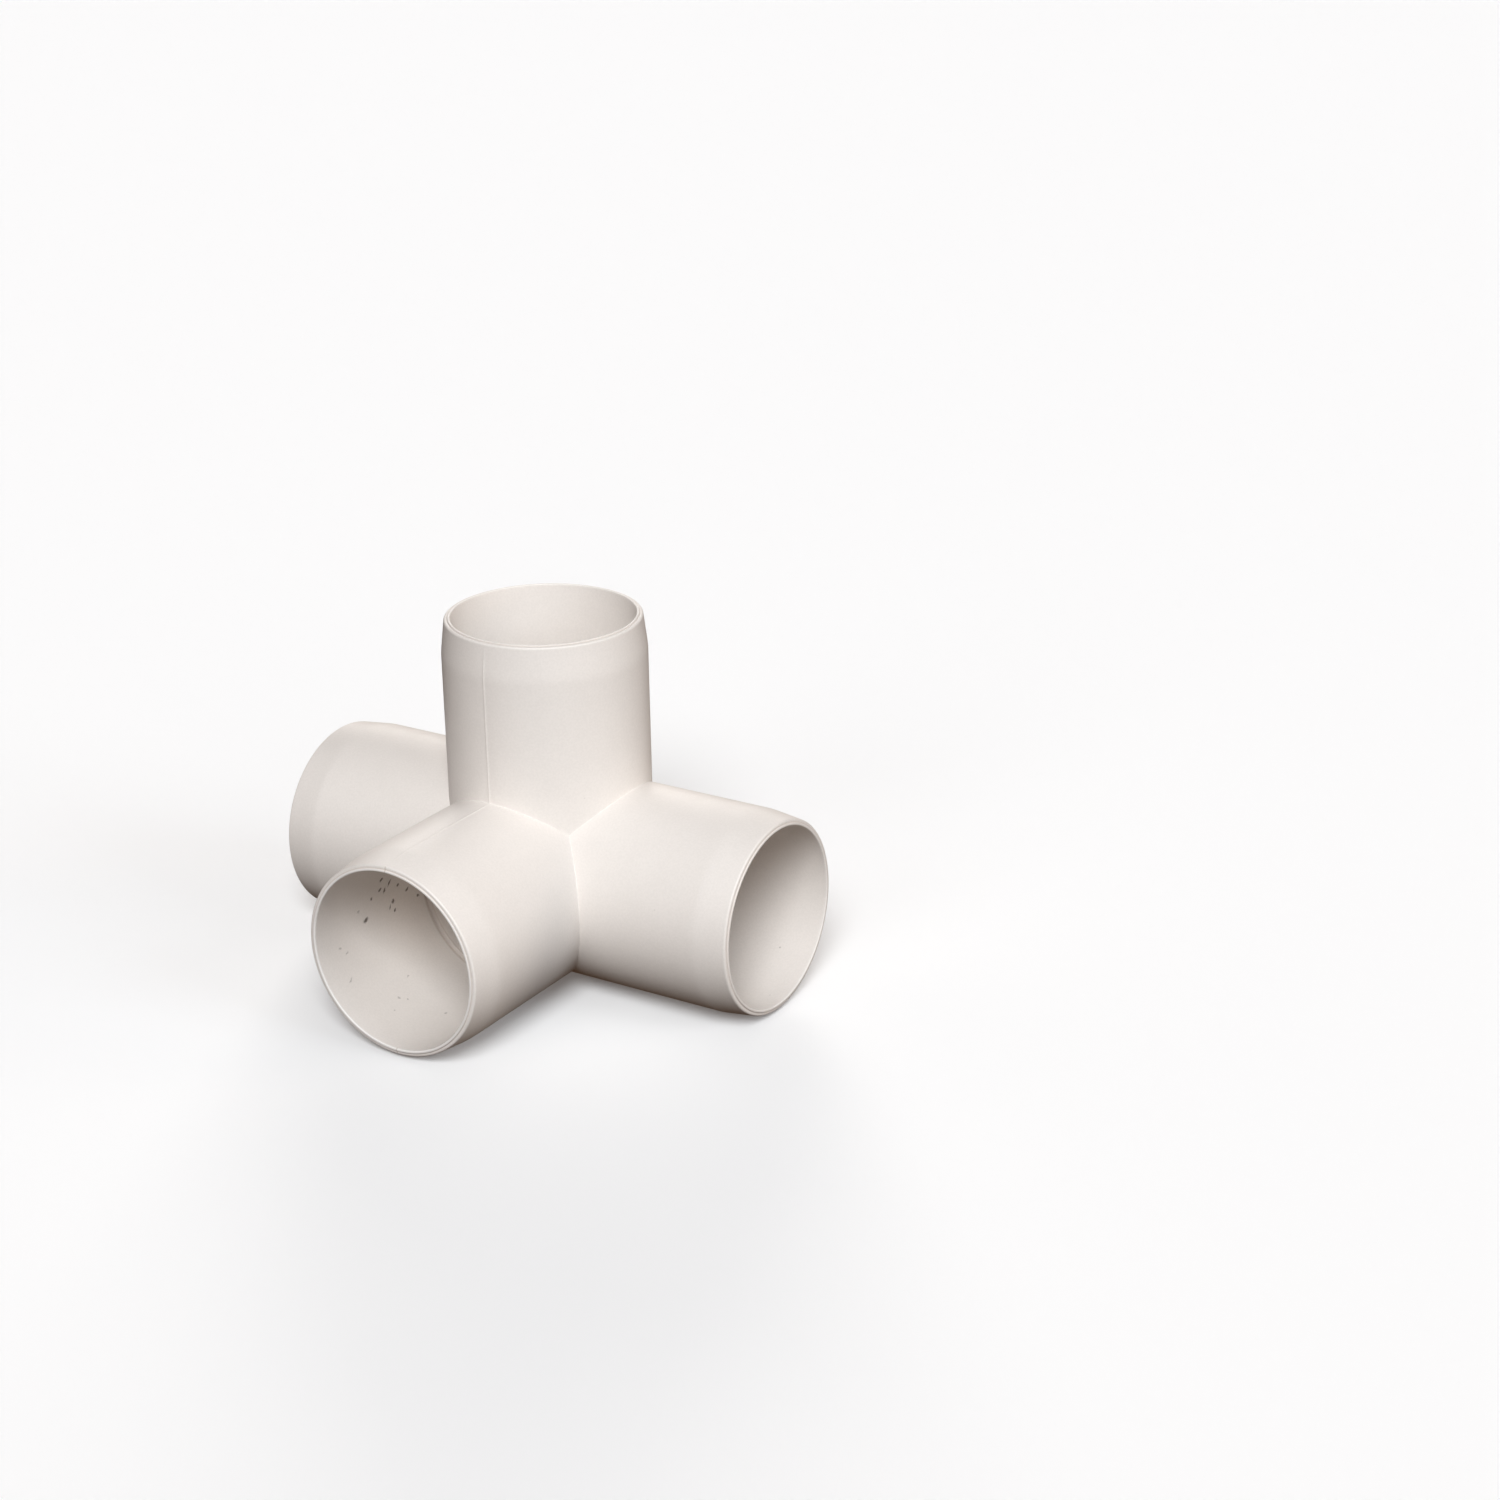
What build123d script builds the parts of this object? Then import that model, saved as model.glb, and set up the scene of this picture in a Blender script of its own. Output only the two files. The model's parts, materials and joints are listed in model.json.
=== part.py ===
"""Four-way (side outlet) slip tee for 1 inch plastic pipe, in millimetres.

One injection moulding: a straight run along X, a branch towards -Y and an outlet towards +Z,
four equal sockets round a hollow hub. The origin is the point where the pipe centre lines
cross. The moulding is divided at its pipe stops and along its crease lines, so that each
socket and the hub is a closed solid of its own. Neighbours meet face to face.
"""

import os

from build123d import *

# Pipe and socket
pipe_diameter = 33.4  # 1 inch nominal pipe, outside
pipe_clearance = 0.2  # on the diameter
bore_radius = (pipe_diameter + pipe_clearance) / 2
wall = 1.9
body_radius = bore_radius + wall

# Lengths along a leg, from the centre line crossing
leg_length = 49.0
stop_distance = 18.0  # the hub reaches from the crossing to each pipe stop
stop_ledge = 0.8  # radial height of the ledge that a pipe end meets

# Mouth of a socket: the outside draws in to a flat shoulder, and a thin lip stands up from it
# round the bore
mouth_taper_length = 6.5
mouth_taper_depth = 0.75
taper_blend_radius = 30.0  # rounding where the taper begins
shoulder_round = 0.25  # rounding where the taper meets the shoulder
lip_height = 0.2
lip_width = 0.5
lip_round = 0.15

# Raised line that the two mould halves leave in the plane X = 0
seam_width = 0.3
seam_height = 0.08
seam_radius = body_radius + seam_height

hub_bore_radius = bore_radius - stop_ledge

# Each leg: its own direction, then the directions of the legs that it meets at a crease
X, Y, Z = Vector(1, 0, 0), Vector(0, 1, 0), Vector(0, 0, 1)
legs = {
    "run_socket_right": (X, (Z, -Y)),
    "run_socket_left": (-X, (Z, -Y)),
    "branch_socket": (-Y, (X, -X, Z)),
    "outlet_socket": (Z, (X, -X, -Y)),
}
moulded_with_seam = ("branch_socket", "outlet_socket")


def side_direction(direction):
    """A direction square to a leg, in the plane X = 0 for the legs that carry the seam."""
    return Z if abs(direction.Z) < 0.5 else Y


def write(part, name):
    part.label = name
    export_step(part, f"parts/{name}.step")


os.makedirs("parts", exist_ok=True)

# Sockets: a wall profile turned about the leg's centre line, cut back to the crease planes
taper_start = leg_length - mouth_taper_length
taper_end_radius = body_radius - mouth_taper_depth
shoulder_distance = leg_length - lip_height
lip_radius = bore_radius + lip_width

for name, (direction, neighbours) in legs.items():
    centre_line = Axis((0, 0, 0), direction)
    side = side_direction(direction)
    profile_plane = Plane(origin=(0, 0, 0), x_dir=side, z_dir=side.cross(direction))
    with BuildPart() as socket:
        with BuildSketch(profile_plane) as wall_section:
            with BuildLine():
                outside = Line((body_radius, stop_distance), (body_radius, taper_start))
                taper = Line(outside @ 1, (taper_end_radius, shoulder_distance))
                shoulder = Line(taper @ 1, (lip_radius, shoulder_distance))
                flank = Line(shoulder @ 1, (lip_radius, leg_length - lip_round))
                outer_round = TangentArc(flank @ 1, (lip_radius - lip_round, leg_length), tangent=(0, 1))
                crest = Line(outer_round @ 1, (bore_radius + lip_round, leg_length))
                inner_round = TangentArc(crest @ 1, (bore_radius, leg_length - lip_round), tangent=(-1, 0))
                bore = Line(inner_round @ 1, (bore_radius, stop_distance))
                stop = Line(bore @ 1, outside @ 0)
            make_face()
            taper_corner = wall_section.vertices().sort_by_distance(outside @ 1)[0]
            fillet(taper_corner, taper_blend_radius)
            shoulder_corner = wall_section.vertices().sort_by_distance(shoulder @ 0)[0]
            fillet(shoulder_corner, shoulder_round)
        revolve(axis=centre_line)
        if name in moulded_with_seam:
            seam_plane = Plane(origin=direction * stop_distance, x_dir=side, z_dir=direction)
            with BuildSketch(seam_plane):
                Rectangle(2 * seam_radius, seam_width)
                Circle(body_radius - wall / 2, mode=Mode.SUBTRACT)
            extrude(amount=taper_start - stop_distance)
        for neighbour in neighbours:
            crease_plane = Plane(origin=(0, 0, 0), z_dir=direction - neighbour)
            split(bisect_by=crease_plane, keep=Keep.TOP)
    write(socket.part, name)

# Hub: the crossing of the legs between the pipe stops, hollow, with a smaller bore than the
# sockets so that its edge is the ledge that each pipe end meets
across_run = Plane.YZ.offset(-stop_distance)
with BuildPart() as hub:
    with BuildSketch(across_run):
        Circle(body_radius)
    extrude(amount=2 * stop_distance)
    for direction in (-Y, Z):
        with BuildSketch(Plane(origin=(0, 0, 0), z_dir=direction)):
            Circle(body_radius)
        extrude(amount=stop_distance)
    with BuildSketch(Plane.YZ):
        Circle(seam_radius)
    extrude(amount=seam_width / 2, both=True)
    with BuildSketch(across_run):
        Circle(hub_bore_radius)
    extrude(amount=2 * stop_distance, mode=Mode.SUBTRACT)
    for direction in (-Y, Z):
        with BuildSketch(Plane(origin=(0, 0, 0), z_dir=direction)):
            Circle(hub_bore_radius)
        extrude(amount=stop_distance, mode=Mode.SUBTRACT)
    for direction in (X, -X, -Y, Z):
        split(bisect_by=Plane(origin=direction * stop_distance, z_dir=direction), keep=Keep.BOTTOM)
write(hub.part, "hub")
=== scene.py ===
"""Looks for a four-way (side outlet) plastic pipe tee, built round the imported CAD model.

Each CAD solid is replaced by a mesh of the same outline, which adds what is too fine for the
solids: crease fillets, rounded edges, and a parting line that dies away towards the mouths.
"""

import json
import math

import bmesh
import bpy
import numpy as np
from mathutils import Matrix, Vector


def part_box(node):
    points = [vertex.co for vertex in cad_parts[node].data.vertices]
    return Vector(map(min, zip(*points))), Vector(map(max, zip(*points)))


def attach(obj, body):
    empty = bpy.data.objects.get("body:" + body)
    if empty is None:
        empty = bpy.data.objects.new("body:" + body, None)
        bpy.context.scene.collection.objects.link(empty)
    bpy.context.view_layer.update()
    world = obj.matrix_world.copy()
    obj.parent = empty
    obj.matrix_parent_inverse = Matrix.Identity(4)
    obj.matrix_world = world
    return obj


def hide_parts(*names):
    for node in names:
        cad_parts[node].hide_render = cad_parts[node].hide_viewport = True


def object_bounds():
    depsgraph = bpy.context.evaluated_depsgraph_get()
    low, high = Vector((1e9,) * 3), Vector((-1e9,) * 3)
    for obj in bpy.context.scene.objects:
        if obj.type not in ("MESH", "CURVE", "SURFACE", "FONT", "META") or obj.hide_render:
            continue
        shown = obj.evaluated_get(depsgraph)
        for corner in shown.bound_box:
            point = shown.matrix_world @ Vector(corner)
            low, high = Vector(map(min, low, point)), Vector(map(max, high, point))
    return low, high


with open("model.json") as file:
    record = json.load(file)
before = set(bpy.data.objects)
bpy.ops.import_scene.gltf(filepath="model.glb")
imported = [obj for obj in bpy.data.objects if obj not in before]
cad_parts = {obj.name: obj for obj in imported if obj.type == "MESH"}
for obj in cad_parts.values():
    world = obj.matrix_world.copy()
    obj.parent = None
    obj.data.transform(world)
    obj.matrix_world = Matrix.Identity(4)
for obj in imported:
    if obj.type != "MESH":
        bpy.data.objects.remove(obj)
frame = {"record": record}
cad_low, cad_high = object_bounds()

MM = 0.001
X, Y, Z = np.eye(3)

# ---------------------------------------------------------------- sizes, from the frame

run_low, run_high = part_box("run_socket_right")
body_radius = run_high.z
leg_length = run_high.x
stop_distance = run_low.x  # from the crossing of the legs to each pipe stop
mounts = {mount["name"]: mount for mount in frame["record"]["mounts"]}
bore_radius = mounts["right_run_bore"]["dims"]["r_mm"] * MM

# ---------------------------------------------------------------- finer sizes

crease_radius = 0.11 * MM  # fillet where two legs meet

stop_ledge = 0.8 * MM
hub_bore_radius = bore_radius - stop_ledge
ledge_round = 0.3 * MM

# Mouth: the outside draws in to a flat shoulder, and a thin lip stands up from it
taper_start = leg_length - 6.5 * MM
taper_end_radius = body_radius - 0.75 * MM
taper_blend_radius = 14 * MM
shoulder_round = 0.4 * MM
lip_height = 0.2 * MM
lip_width = 0.5 * MM
lip_radius = bore_radius + lip_width
lip_round = 0.18 * MM
lip_foot_round = 0.02 * MM
shoulder_distance = leg_length - lip_height
taper_slope = (body_radius - taper_end_radius) / (shoulder_distance - taper_start)

# Line left by the two mould halves, in the plane X = 0. It dies away along the taper.
seam_height = 0.065 * MM
seam_half_width = 0.19 * MM
seam_fade = (leg_length - 5 * MM, leg_length - 1.5 * MM)
seam_share_at_mouth = 0.15

# ---------------------------------------------------------------- legs

# name: direction, then two directions across it, right-handed with it
LEGS = {
    "outlet_socket": (Z, X, Y),
    "run_socket_right": (X, Y, Z),
    "run_socket_left": (-X, Z, Y),
    "branch_socket": (-Y, X, Z),
}

COLUMNS = 256  # points round each leg
SEAM_COLUMNS = np.array([0.05, 0.11, 0.16, 0.22, 0.34]) * MM  # more, either side of each quarter

# Rows of points along a socket, as distances from its mouth
CREASE_ROWS_END = 24 * MM
BODY_ROWS = MM * np.concatenate(
    [np.linspace(22, 9, 7), np.linspace(8.5, 4, 12), np.linspace(3.2, 0.7, 4)]
)
BORE_ROWS_START = 0.6 * MM
BORE_ROWS_CLEAR = 0.4 * MM  # left free before the pipe stop

# The outer surface is looked for between these shares of the body radius
SEARCH_FROM = 0.9
SEARCH_TO = 1.2
HALVINGS = 42


def column_angles():
    """Even angles round a leg, with more at each quarter, where a seam may run down it."""
    even = np.arange(COLUMNS) * 2 * math.pi / COLUMNS
    offsets = SEAM_COLUMNS / body_radius
    close = np.concatenate([-offsets, offsets])
    extra = [quarter * math.pi / 2 + close for quarter in range(4)]
    return np.sort(np.concatenate([even, *extra]) % (2 * math.pi))


ANGLES = column_angles()


def taper_radius(along):
    """Outside radius at a distance along a leg: a cylinder, a gentle rounding, then a cone."""
    angle = math.atan(taper_slope)
    blend_start = taper_start - taper_blend_radius * math.tan(angle / 2)
    blend_length = taper_blend_radius * math.sin(angle)
    into = np.clip(along - blend_start, 0, blend_length)
    drop = taper_blend_radius - np.sqrt(taper_blend_radius**2 - into**2)
    beyond = np.clip(along - blend_start - blend_length, 0, None)
    return body_radius - drop - beyond * taper_slope


def seam(points):
    """How far the parting line stands proud at each point."""
    along = np.maximum(-points[..., 1], points[..., 2])
    height = seam_height * np.interp(along, seam_fade, (1, seam_share_at_mouth))
    return height * np.exp(-((points[..., 0] / seam_half_width) ** 2))


def leg_distance(points, direction):
    """Distance outside the round leg along a direction, and the outward direction there."""
    along = points @ direction
    across = points - along[..., None] * direction
    out = np.linalg.norm(across, axis=-1)
    normal = across / np.maximum(out, 1e-9)[..., None]
    return out - taper_radius(np.abs(along)) - seam(points), normal


def filleted(first, second):
    """Union of two distances with a rolling-ball fillet, fading where the walls run together."""
    (a, normal_a), (b, normal_b) = first, second
    cosine = (normal_a * normal_b).sum(-1)
    sine_squared = np.maximum(1 - cosine**2, 1e-9)
    deep_a, deep_b = a - crease_radius, b - crease_radius
    share_a = -(deep_a - cosine * deep_b)
    share_b = -(deep_b - cosine * deep_a)
    squared = (deep_a**2 + deep_b**2 - 2 * cosine * deep_a * deep_b) / sine_squared
    ball = crease_radius - np.sqrt(np.maximum(squared, 0))
    return np.where((share_a > 0) & (share_b > 0), ball, np.minimum(a, b))


def outside_distance(points):
    """Distance outside the whole moulding's outer surface."""
    run = leg_distance(points, X)
    branch = leg_distance(points, -Y)
    outlet = leg_distance(points, Z)
    before_branch = points[..., 1] > 0
    below_outlet = points[..., 2] < 0
    far = body_radius
    branch = (np.where(before_branch, far, branch[0]), branch[1])
    outlet = (np.where(below_outlet, far, outlet[0]), outlet[1])
    pairs = [filleted(run, branch), filleted(run, outlet), filleted(branch, outlet)]
    return np.minimum(np.minimum(pairs[0], pairs[1]), pairs[2])


def reach(start, ray):
    """How far along each ray from start the outer surface is, by halving."""
    low = np.full(ray.shape[:-1], SEARCH_FROM * body_radius)
    high = np.full(ray.shape[:-1], SEARCH_TO * body_radius)
    for _ in range(HALVINGS):
        middle = (low + high) / 2
        inside = outside_distance(start + middle[..., None] * ray) < 0
        low = np.where(inside, middle, low)
        high = np.where(inside, high, middle)
    return (low + high) / 2


def leg_rays(name):
    """For each column, its ray across the leg, and the slope of the crease that ends it.

    The slope says how far along the leg the crease lies for each unit across it. It comes from
    the neighbour that the ray points at most, and is 0 where there is none.
    """
    direction, across_u, across_v = LEGS[name]
    rays = np.cos(ANGLES)[:, None] * across_u + np.sin(ANGLES)[:, None] * across_v
    slope = np.zeros(len(ANGLES))
    for other, (toward, _, _) in LEGS.items():
        if other != name and abs(toward @ direction) < 0.5:
            slope = np.maximum(slope, rays @ toward)
    return rays, slope


def crease_places(name):
    """For each column, how far along the leg its outside begins, at the crease."""
    direction = LEGS[name][0]
    rays, slope = leg_rays(name)
    lean = rays + slope[:, None] * direction
    return reach(np.zeros(3), lean) * slope


def outer_rows(name, starts, ends, count, power):
    """Rows of points on the outside of a leg between two distances along it.

    A power above 1 draws the rows together at the start.
    """
    direction = LEGS[name][0]
    rays, _ = leg_rays(name)
    share = (np.arange(count + 1) / count) ** power
    along = starts[None, :] + share[:, None] * (ends - starts)[None, :]
    base = along[..., None] * direction
    out = reach(base, np.broadcast_to(rays, base.shape))
    return base + out[..., None] * rays


def outer_ring(name, along):
    """One row of points round the outside of a leg, at a distance along it."""
    places = np.full(len(ANGLES), along)
    return outer_rows(name, places, places, 1, 1)[:1]


def arc(centre, radius, start, end, count):
    """Points of an arc as (out, along) pairs, angles in degrees from the outward direction."""
    turn = np.radians(np.linspace(start, end, count))
    return [(centre[0] + radius * math.cos(t), centre[1] + radius * math.sin(t)) for t in turn]


def mouth_profile():
    """Round the shoulder, over the lip and down the bore, as (out, along) pairs."""
    lean = math.hypot(1, taper_slope) - taper_slope
    corner = (taper_end_radius - shoulder_round * lean, shoulder_distance - shoulder_round)
    foot = (lip_radius + lip_foot_round, shoulder_distance + lip_foot_round)
    outer = (lip_radius - lip_round, leg_length - lip_round)
    inner = (bore_radius + lip_round, leg_length - lip_round)
    points = arc(corner, shoulder_round, math.degrees(math.atan(taper_slope)), 90, 8)
    points += arc(foot, lip_foot_round, 270, 180, 5)
    points += arc(outer, lip_round, 0, 90, 7)
    points += arc(inner, lip_round, 90, 180, 7)
    bore = np.linspace(leg_length - BORE_ROWS_START, stop_distance + BORE_ROWS_CLEAR, 18)
    points += [(bore_radius, along) for along in bore]
    return points + [(bore_radius, stop_distance)]


def turned_rows(name, profile):
    """A profile of (out, along) pairs turned about a leg's centre line."""
    direction = LEGS[name][0]
    rays, _ = leg_rays(name)
    return np.array([along * direction + out * rays for out, along in profile])


# ---------------------------------------------------------------- meshes

SHARP_ANGLE = math.radians(38)


class Shell:
    """Collects strips of points and joins them into one closed mesh."""

    def __init__(self):
        self.points, self.faces = [], []

    def strip(self, rows, closed=False):
        """rows[r][c] are points. Columns wrap round, and rows do too if closed."""
        count, columns = rows.shape[:2]
        first = len(self.points)
        self.points.extend(map(tuple, rows.reshape(-1, 3)))
        for r in range(count if closed else count - 1):
            below, above = first + r * columns, first + (r + 1) % count * columns
            for c in range(columns):
                d = (c + 1) % columns
                self.faces.append((below + c, below + d, above + d, above + c))

    def make(self, name):
        mesh = bpy.data.meshes.new(name)
        built = bmesh.new()
        corners = [built.verts.new(p) for p in self.points]
        for face in self.faces:
            built.faces.new([corners[i] for i in face])
        bmesh.ops.remove_doubles(built, verts=built.verts, dist=0.002 * MM)
        bmesh.ops.dissolve_degenerate(built, edges=built.edges, dist=0.001 * MM)
        bmesh.ops.recalc_face_normals(built, faces=built.faces)
        built.to_mesh(mesh)
        built.free()
        mesh.shade_smooth()
        mesh.set_sharp_from_angle(angle=SHARP_ANGLE)
        piece = bpy.data.objects.new(name, mesh)
        bpy.context.scene.collection.objects.link(piece)
        return piece


def socket_rows(name):
    """A socket's closed ring of rows.

    They run along the outside from the crease or the pipe stop to the mouth, in over the lip,
    back down the bore, and across the end at the pipe stop.
    """
    direction = LEGS[name][0]
    rays, slope = leg_rays(name)
    start = np.maximum(crease_places(name), stop_distance)
    even = np.full(len(rays), leg_length - CREASE_ROWS_END)
    near = outer_rows(name, start, even, 16, 1.8)
    body = [outer_ring(name, leg_length - from_mouth) for from_mouth in BODY_ROWS]
    mouth = turned_rows(name, mouth_profile())
    out_at_start = np.linalg.norm(near[0] - start[:, None] * direction, axis=-1)
    out_at_crease = stop_distance / np.maximum(slope, 1e-6)
    end_radius = np.minimum(out_at_start, out_at_crease)
    end = stop_distance * direction + end_radius[:, None] * rays
    return np.concatenate([near, *body, mouth, end[None]])


def hub_rows(name):
    """The hub's share of one leg.

    The rows run along the outside from the crease to the pipe stop, across the stop, and back
    down the hub's bore to its inner crease.
    """
    direction = LEGS[name][0]
    rays, slope = leg_rays(name)
    begin = crease_places(name)
    stop = np.full(len(rays), stop_distance)
    outside = outer_rows(name, np.minimum(begin, stop_distance), stop, 14, 2)
    beyond = begin >= stop_distance
    edge = stop_distance / np.maximum(slope, 1e-6)
    outside[:, beyond] = (stop_distance * direction + edge[:, None] * rays)[beyond]
    ledge_centre = (hub_bore_radius + ledge_round, stop_distance - ledge_round)
    ledge = turned_rows(name, [(bore_radius, stop_distance), *arc(ledge_centre, ledge_round, 90, 180, 5)])
    share = np.linspace(0, 1, 9)[:, None]
    depth = (1 - share) * (stop_distance - ledge_round) + share * hub_bore_radius * slope
    bore = depth[..., None] * direction + hub_bore_radius * rays
    return np.concatenate([outside, ledge, bore[1:]])


def make_socket(name):
    shell = Shell()
    shell.strip(socket_rows(name), closed=True)
    return shell.make(name + "_moulding")


def make_hub():
    shell = Shell()
    for name in LEGS:
        shell.strip(hub_rows(name))
    return shell.make("hub_moulding")


# ---------------------------------------------------------------- material

PLASTIC_DARK = (0.760, 0.713, 0.670)
PLASTIC_PALE = (0.790, 0.741, 0.698)
# Paler colour for the lip of each mouth: a painted highlight
LIP_HIGHLIGHT = (0.86, 0.835, 0.81)
DIRT = (0.055, 0.035, 0.022)
# Brown for the mould mark across the rim, and for painted shade at the foot of each lip and at each pipe
# stop ledge
DUST_AND_SHADE = (0.42, 0.33, 0.26)

# How strongly each mark covers the plastic, from 0 to 1. The lip foot and ledge values are painted shade;
# the others are dirt and mould marks.
LIP_FOOT_SHADE = 0.32
LEDGE_SHADE = 0.35
RIM_MARK = 0.4
DARK_SPECK = 0.88
FAINT_SPECK = 0.35

# Dirt stuck inside the branch: distance in from the mouth, angle round the bore from +X towards
# +Z, half length and half width, in mm and degrees, and how far its long way leans off the axis
DARK_SPECKS = [
    (14.0, -174.5, 0.95, 0.48, 15), (15.9, 173.6, 0.4, 0.35, 0), (18.2, 170.4, 0.55, 0.4, 20),
    (19.6, 172.6, 0.8, 0.35, 75), (20.9, 169.3, 1.0, 0.3, 60), (18.2, 163.2, 0.6, 0.4, 30),
    (22.0, -176.7, 0.6, 0.4, 70), (22.1, -170.5, 0.45, 0.35, 45), (21.0, -174.0, 0.7, 0.25, 60),
    (23.6, 174.5, 0.5, 0.35, 0), (26.2, -179.2, 0.6, 0.4, 25), (29.0, -171.4, 0.45, 0.35, 0),
]
FAINT_SPECKS = [
    (12.1, 177.2, 0.45, 0.35, 0), (6.0, -166.7, 0.4, 0.3, 0), (7.4, -162.1, 0.5, 0.25, 30),
    (5.6, -146.5, 0.8, 0.2, 25), (12.2, -121.3, 0.4, 0.3, 0), (15.4, -92.7, 0.4, 0.3, 0),
    (17.7, -130.2, 0.5, 0.3, 20), (9.1, -116.0, 0.35, 0.25, 0),
]
SPECK_UNEVENNESS = 0.7 * MM


class Material:
    """A material's node tree, with short ways to add the nodes that this scene uses."""

    def __init__(self, name):
        self.data = bpy.data.materials.new(name)
        self.data.use_nodes = True
        self.nodes = self.data.node_tree.nodes
        self.shader = self.nodes["Principled BSDF"]
        self.place = self.add("TexCoord").outputs["Object"]

    def add(self, kind, **settings):
        node = self.nodes.new("ShaderNode" + kind)
        for name, value in settings.items():
            setattr(node, name, value)
        return node

    def put(self, value, socket):
        """Give a socket a plain value, or link another node's output to it."""
        if isinstance(value, bpy.types.NodeSocket):
            self.data.node_tree.links.new(value, socket)
        else:
            socket.default_value = value

    def math(self, operation, *values):
        node = self.add("Math", operation=operation)
        for value, socket in zip(values, node.inputs):
            self.put(value, socket)
        return node.outputs["Value"]

    def times(self, first, *others):
        product = first
        for other in others:
            product = self.math("MULTIPLY", product, other)
        return product

    def vector(self, operation, *values, output="Vector"):
        node = self.add("VectorMath", operation=operation)
        for value, socket in zip(values, node.inputs):
            self.put(value, socket)
        return node.outputs[output]

    def noise(self, scale, detail, roughness=0.5, output="Fac"):
        node = self.add("TexNoise")
        node.inputs["Scale"].default_value = scale
        node.inputs["Detail"].default_value = detail
        node.inputs["Roughness"].default_value = roughness
        self.put(self.place, node.inputs["Vector"])
        return node.outputs[output]

    def span(self, value, low, high, to_low=0.0, to_high=1.0):
        """Carry a value smoothly from one range to another, held at the ends."""
        node = self.add("MapRange", interpolation_type="SMOOTHSTEP")
        self.put(value, node.inputs["Value"])
        node.inputs["From Min"].default_value = low
        node.inputs["From Max"].default_value = high
        node.inputs["To Min"].default_value = to_low
        node.inputs["To Max"].default_value = to_high
        return node.outputs["Result"]

    def mix(self, share, first, second):
        """The first colour, turning into the second as the share goes from 0 to 1."""
        node = self.add("Mix", data_type="RGBA")
        self.put(share, node.inputs["Factor"])
        self.put((*first, 1) if isinstance(first, tuple) else first, node.inputs["A"])
        self.put((*second, 1) if isinstance(second, tuple) else second, node.inputs["B"])
        return node.outputs["Result"]


def leg_places(material):
    """Distance along the nearest leg and out from its centre line, at each point of the surface."""
    axes = material.add("SeparateXYZ")
    material.put(material.place, axes.inputs["Vector"])
    x, y, z = axes.outputs
    along_run = material.math("ABSOLUTE", x)
    along_branch = material.math("MULTIPLY", y, -1)
    along = material.math("MAXIMUM", material.math("MAXIMUM", along_run, along_branch), z)
    whole = material.vector("DOT_PRODUCT", material.place, material.place, output="Value")
    square = material.math("SUBTRACT", whole, material.math("MULTIPLY", along, along))
    return along, material.math("SQRT", material.math("MAXIMUM", square, 0.0))


def mottled(material):
    """The plastic's own colour, very slightly cloudy and grainy."""
    broad = material.math("MULTIPLY", material.noise(scale=240, detail=4), 0.25)
    grain = material.math("MULTIPLY", material.noise(scale=2600, detail=2), 0.75)
    mottle = material.span(material.math("ADD", broad, grain), 0.35, 0.65)
    return material.mix(mottle, PLASTIC_DARK, PLASTIC_PALE)


def at_mouth(material, along):
    """1 at the very end of a leg, on its shoulder and lip, and 0 elsewhere."""
    return material.span(along, shoulder_distance - 0.25 * MM, shoulder_distance - 0.1 * MM)


def mouth_shade_and_highlight(material, colour, along, out, lip_highlight_share):
    """Painted shade: a thin darker line at the foot of the lip. Painted highlight: a paler lip."""
    mouth = at_mouth(material, along)
    past_lip = material.span(out, lip_radius - 0.12 * MM, lip_radius + 0.02 * MM)
    # Painted shade: a darker line just outside the foot of the lip
    foot = material.span(out, lip_radius + 0.05 * MM, lip_radius + 0.22 * MM, LIP_FOOT_SHADE, 0.0)
    colour = material.mix(material.times(mouth, past_lip, foot), colour, DUST_AND_SHADE)
    # Painted highlight: the lip itself is paler than the plastic
    on_lip = material.math("SUBTRACT", 1.0, past_lip)
    return material.mix(material.times(mouth, on_lip, lip_highlight_share), colour, LIP_HIGHLIGHT)


def painted_ledge_shade(material, colour, along, out):
    """Painted shade on the ledge at the bottom of each socket."""
    # Painted shade: a darker ring where the bore meets the pipe stop ledge
    from_stop = material.math("ABSOLUTE", material.math("SUBTRACT", along, stop_distance))
    near_stop = material.span(from_stop, 0.3 * MM, 0.6 * MM, 1.0, 0.0)
    inside = material.span(out, bore_radius + 0.1 * MM, bore_radius + 0.5 * MM, 1.0, 0.0)
    return material.mix(material.times(near_stop, inside, LEDGE_SHADE), colour, DUST_AND_SHADE)


def fine_dust(material, colour):
    """A few very small faint specks, all over, in scattered places."""
    cells = material.add("TexVoronoi")
    cells.inputs["Scale"].default_value = 260
    material.put(material.place, cells.inputs["Vector"])
    pick = material.add("SeparateColor")
    material.put(cells.outputs["Color"], pick.inputs["Color"])
    few = material.span(pick.outputs["Red"], 0.90, 0.93)
    dot = material.span(cells.outputs["Distance"], 0.03, 0.065, 1.0, 0.0)
    strength = material.span(pick.outputs["Green"], 0.0, 1.0, 0.08, 0.4)
    return material.mix(material.times(few, dot, strength), colour, DIRT)


def parting_mark(material, colour, along):
    """A faint mark across the rim where the two mould halves meet."""
    axes = material.add("SeparateXYZ")
    material.put(material.place, axes.inputs["Vector"])
    beside = material.math("ABSOLUTE", axes.outputs["X"])
    line = material.span(beside, 0.05 * MM, 0.2 * MM, 1.0, 0.0)
    return material.mix(material.times(at_mouth(material, along), line, RIM_MARK), colour, DUST_AND_SHADE)


def uneven_place(material, size):
    """The place, shifted a little this way and that, so that what is drawn there has uneven edges."""
    wander = material.noise(scale=1800, detail=2, output="Color")
    centred = material.vector("SUBTRACT", wander, (0.5, 0.5, 0.5))
    shift = material.add("VectorMath", operation="SCALE")
    material.put(centred, shift.inputs["Vector"])
    shift.inputs["Scale"].default_value = size
    return material.vector("ADD", material.place, shift.outputs["Vector"])


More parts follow.
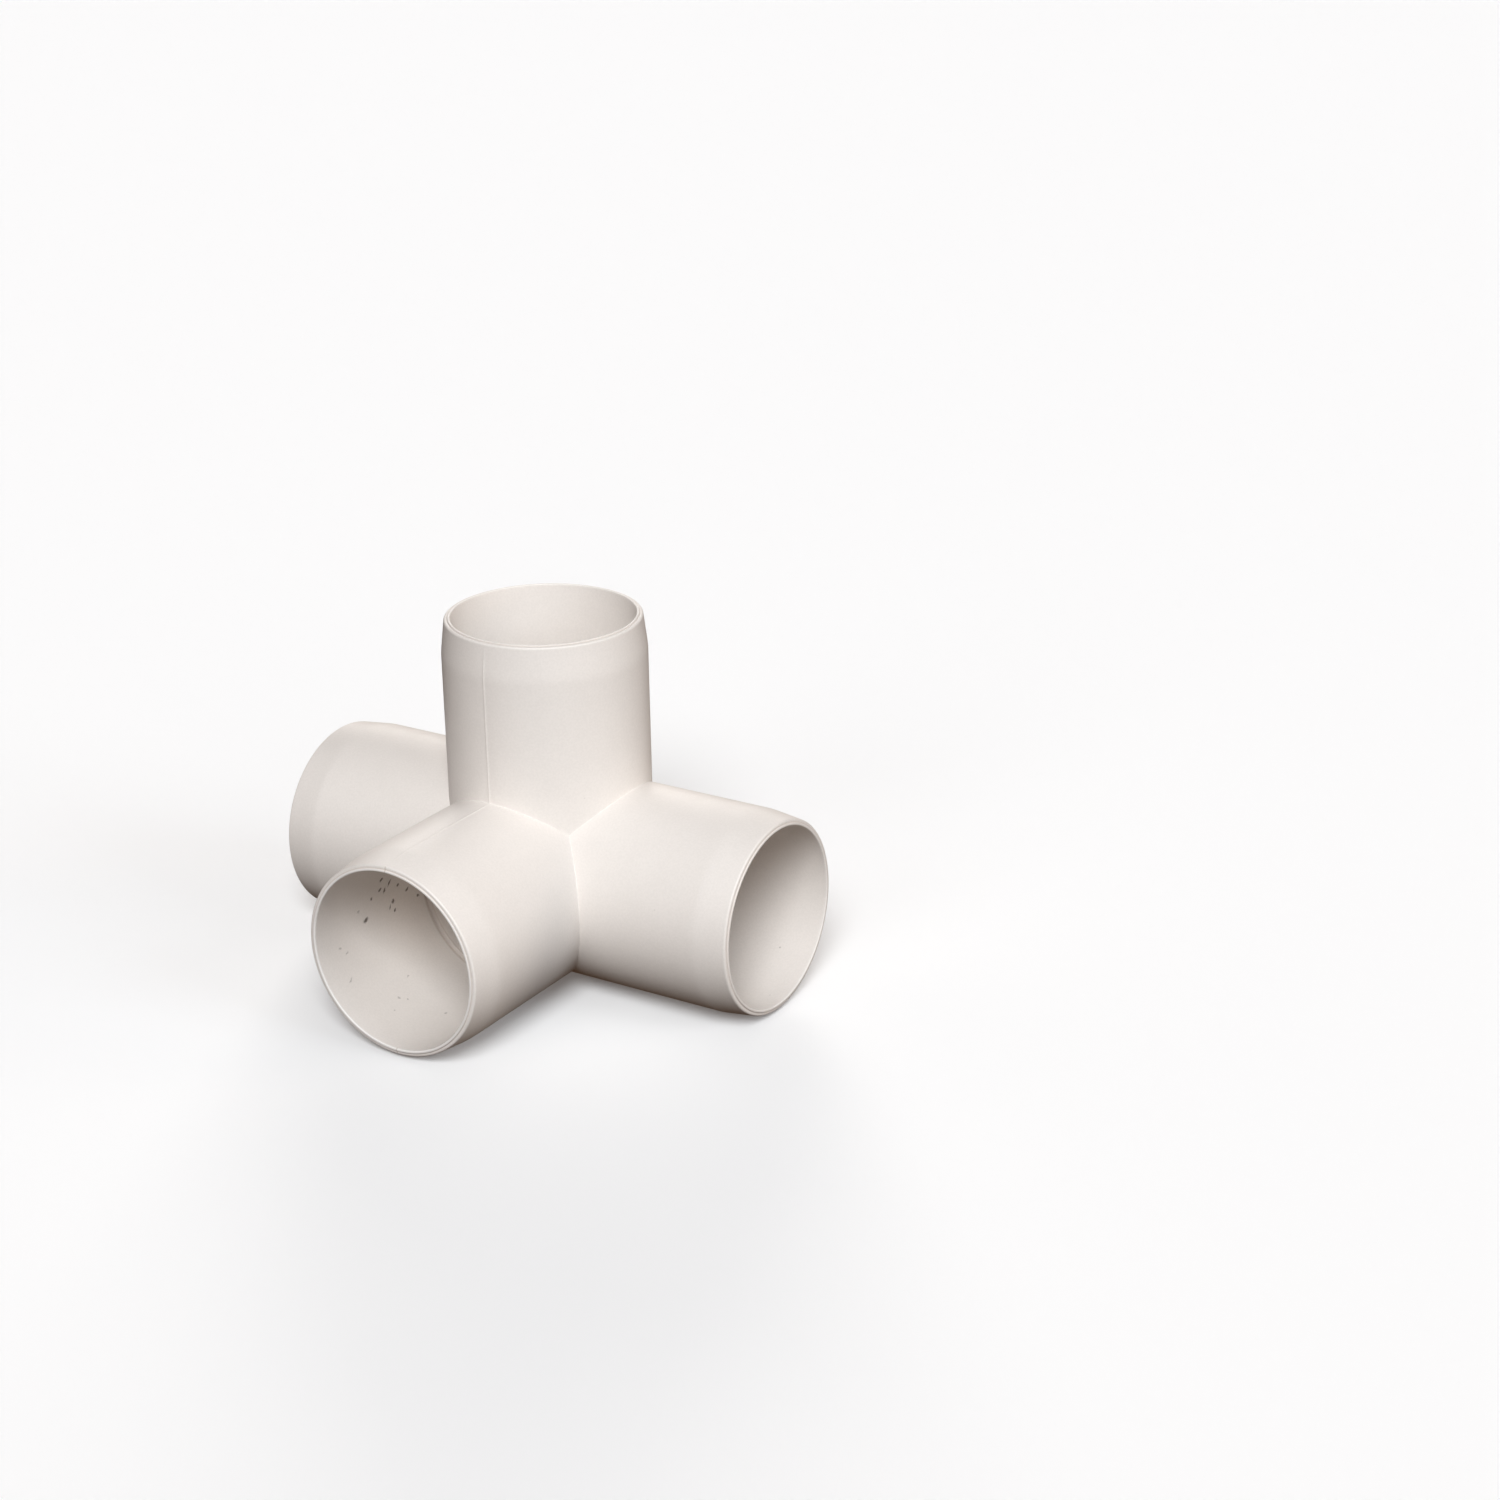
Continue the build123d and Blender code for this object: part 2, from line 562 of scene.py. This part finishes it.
def speck_share(material, specks, place):
    """1 in the middle of each speck in a list, falling to 0 at its edge."""
    nearest = None
    for depth, angle, half_length, half_width, lean in specks:
        turn = math.radians(angle)
        inward = Vector((-math.cos(turn), 0, -math.sin(turn)))
        centre = Vector((0, depth * MM - leg_length, 0)) - bore_radius * inward
        on_bore = Matrix((Vector((0, 1, 0)), inward.cross((0, 1, 0)), inward)).transposed()
        leaning = on_bore @ Matrix.Rotation(math.radians(lean), 3, "Z")
        node = material.add("Mapping", vector_type="TEXTURE")
        node.inputs["Location"].default_value = centre
        node.inputs["Rotation"].default_value = leaning.to_euler()
        node.inputs["Scale"].default_value = (half_length * MM, half_width * MM, 1 * MM)
        material.put(place, node.inputs["Vector"])
        distance = material.vector("LENGTH", node.outputs["Vector"], output="Value")
        nearest = distance if nearest is None else material.math("MINIMUM", nearest, distance)
    return material.span(nearest, 0.3, 1.15, 1.0, 0.0)


def branch_specks(material, colour):
    """The dirt stuck inside the branch."""
    place = uneven_place(material, SPECK_UNEVENNESS)
    dark = material.math("MULTIPLY", speck_share(material, DARK_SPECKS, place), DARK_SPECK)
    faint = material.math("MULTIPLY", speck_share(material, FAINT_SPECKS, place), FAINT_SPECK)
    return material.mix(material.math("MAXIMUM", dark, faint), colour, DIRT)


def pvc(name, lip_highlight_share, dirty=False):
    """Off-white moulded PVC, satin and finely textured, with faint dust specks, painted shade at each lip
    foot and pipe stop ledge, and a painted highlight on each lip.
    """
    material = Material(name)
    shader = material.shader
    shader.inputs["IOR"].default_value = 1.53
    along, out = leg_places(material)

    colour = mottled(material)
    colour = mouth_shade_and_highlight(material, colour, along, out, lip_highlight_share)
    colour = painted_ledge_shade(material, colour, along, out)
    colour = fine_dust(material, colour)
    if dirty:
        colour = parting_mark(material, colour, along)
        colour = branch_specks(material, colour)
    material.put(colour, shader.inputs["Base Color"])
    gloss = material.span(material.noise(scale=420, detail=3), 0.0, 1.0, 0.42, 0.56)
    material.put(gloss, shader.inputs["Roughness"])

    bump = material.add("Bump")
    bump.inputs["Strength"].default_value = 0.25
    bump.inputs["Distance"].default_value = 0.03 * MM
    material.put(material.noise(scale=3500, detail=3, roughness=0.6), bump.inputs["Height"])
    material.put(bump.outputs["Normal"], shader.inputs["Normal"])
    return material.data


# The branch's lip gets a stronger painted highlight than the other mouths
clean_pvc = pvc("moulded_pvc", lip_highlight_share=0.1)
specked_pvc = pvc("moulded_pvc_specked", lip_highlight_share=0.6, dirty=True)
pieces = {name: make_socket(name) for name in LEGS}
pieces["hub"] = make_hub()
for node, piece in pieces.items():
    piece.data.materials.append(specked_pvc if node == "branch_socket" else clean_pvc)
    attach(piece, "root")
    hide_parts(node)

# ---------------------------------------------------------------- camera

azimuth = math.radians(36.22)  # from -Y, the front, towards +X
elevation = math.radians(23.73)
roll = math.radians(2.605)
turn_right = math.radians(3.896)  # off the crossing of the legs, which is not in the middle
turn_up = math.radians(-2.011)
camera_distance = 29.42 * body_radius

back = Vector((
    math.sin(azimuth) * math.cos(elevation),
    -math.cos(azimuth) * math.cos(elevation),
    math.sin(elevation),
))
right = Vector((math.cos(azimuth), math.sin(azimuth), 0))
towards_object = Matrix((right, back.cross(right), back))
turned = (
    Matrix.Rotation(roll, 3, "Z")
    @ Matrix.Rotation(turn_up, 3, "X")
    @ Matrix.Rotation(turn_right, 3, "Y")
    @ towards_object
)
camera = bpy.data.objects.new("camera", bpy.data.cameras.new("camera"))
camera.data.sensor_width = 36
camera.data.lens = 70.73
camera.data.clip_start = 0.01
camera.matrix_world = Matrix.Translation(back * camera_distance) @ turned.transposed().to_4x4()
bpy.context.scene.collection.objects.link(camera)
bpy.context.scene.camera = camera

# ---------------------------------------------------------------- floor and light

BACKDROP = 0.98  # how bright the backdrop looks
FLOOR_GREY = 0.88
FLOOR_GLOW = 0.1
FLOOR_HALF_WIDTH = 12.0
LAMP_SOFTNESS = math.radians(25)

# name: azimuth from the front towards +X and elevation in degrees, strength, colour
LAMPS = {
    "key": (30, 42, 2.70, (0.955, 0.98, 1.0)),
    "front_right": (60, 25, 0.25, (0.95, 0.975, 1.0)),
    "fill": (90, 25, 0.70, (0.85, 0.93, 1.0)),
    "front_left": (0, 25, 0.38, (0.95, 0.975, 1.0)),
    "low_right": (120, 8, 0.68, (1.0, 0.87, 0.76)),
    "back_left": (218, 20, 0.48, (0.99, 0.96, 0.92)),
    "behind": (212, 8, 2.3, (1.0, 0.965, 0.93)),
}
NO_HIGHLIGHT = ("low_right", "behind")  # lamps that light the object but don't show in its gloss

ROOM_ABOVE = (0.095, 0.07, 0.06)
ROOM_BELOW = (0.06, 0.034, 0.019)


def direction_from(azimuth_deg, elevation_deg):
    """Unit vector towards a place round the object: azimuth 0 is in front, at -Y, and 90 is at +X."""
    a, e = math.radians(azimuth_deg), math.radians(elevation_deg)
    return Vector((math.sin(a) * math.cos(e), -math.cos(a) * math.cos(e), math.sin(e)))


def far_lamp(name, azimuth_deg, elevation_deg, strength, colour):
    """A large soft lamp, far enough away to light the floor evenly."""
    data = bpy.data.lights.new(name, "SUN")
    data.angle = LAMP_SOFTNESS
    data.energy = strength
    data.color = colour
    lamp = bpy.data.objects.new(name, data)
    lamp.rotation_mode = "QUATERNION"
    lamp.rotation_quaternion = direction_from(azimuth_deg, elevation_deg).to_track_quat("Z", "Y")
    lamp.visible_glossy = name not in NO_HIGHLIGHT
    bpy.context.scene.collection.objects.link(lamp)


def pale_floor():
    """A wide plain floor. It takes shadows, and throws no light back up at the object."""
    mesh = bpy.data.meshes.new("floor")
    half = FLOOR_HALF_WIDTH
    corners = [(-half, -half), (half, -half), (half, half), (-half, half)]
    mesh.from_pydata([(x, y, cad_low.z) for x, y in corners], [], [(0, 1, 2, 3)])
    floor = bpy.data.objects.new("floor", mesh)
    material = bpy.data.materials.new("pale_floor")
    material.use_nodes = True
    shader = material.node_tree.nodes["Principled BSDF"]
    shader.inputs["Base Color"].default_value = (FLOOR_GREY, FLOOR_GREY, FLOOR_GREY, 1)
    shader.inputs["Roughness"].default_value = 0.9
    shader.inputs["Specular IOR Level"].default_value = 0.0
    shader.inputs["Emission Color"].default_value = (1, 1, 1, 1)
    shader.inputs["Emission Strength"].default_value = FLOOR_GLOW
    mesh.materials.append(material)
    bpy.context.scene.collection.objects.link(floor)
    floor.visible_diffuse = False
    floor.visible_glossy = False


def room(above, below):
    """Dim light from all round, dimmer and warmer from below. The eye sees only a pale backdrop."""
    world = bpy.data.worlds.new("room")
    bpy.context.scene.world = world
    world.use_nodes = True
    nodes, links = world.node_tree.nodes, world.node_tree.links
    light = nodes["Background"]
    way = nodes.new("ShaderNodeSeparateXYZ")
    links.new(nodes.new("ShaderNodeTexCoord").outputs["Generated"], way.inputs["Vector"])
    blend = nodes.new("ShaderNodeMapRange")
    blend.inputs["From Min"].default_value = -0.1
    blend.inputs["From Max"].default_value = 0.1
    links.new(way.outputs["Z"], blend.inputs["Value"])
    mix = nodes.new("ShaderNodeMix")
    mix.data_type = "RGBA"
    mix.inputs["A"].default_value = (*below, 1)
    mix.inputs["B"].default_value = (*above, 1)
    links.new(blend.outputs["Result"], mix.inputs["Factor"])
    links.new(mix.outputs["Result"], light.inputs["Color"])
    backdrop = nodes.new("ShaderNodeBackground")
    backdrop.inputs["Color"].default_value = (BACKDROP, BACKDROP, BACKDROP, 1)
    choose = nodes.new("ShaderNodeMixShader")
    links.new(nodes.new("ShaderNodeLightPath").outputs["Is Camera Ray"], choose.inputs["Fac"])
    links.new(light.outputs["Background"], choose.inputs[1])
    links.new(backdrop.outputs["Background"], choose.inputs[2])
    links.new(choose.outputs["Shader"], nodes["World Output"].inputs["Surface"])


pale_floor()
room(ROOM_ABOVE, ROOM_BELOW)
for name, settings in LAMPS.items():
    far_lamp(name, *settings)

bpy.context.scene.view_settings.view_transform = "Standard"
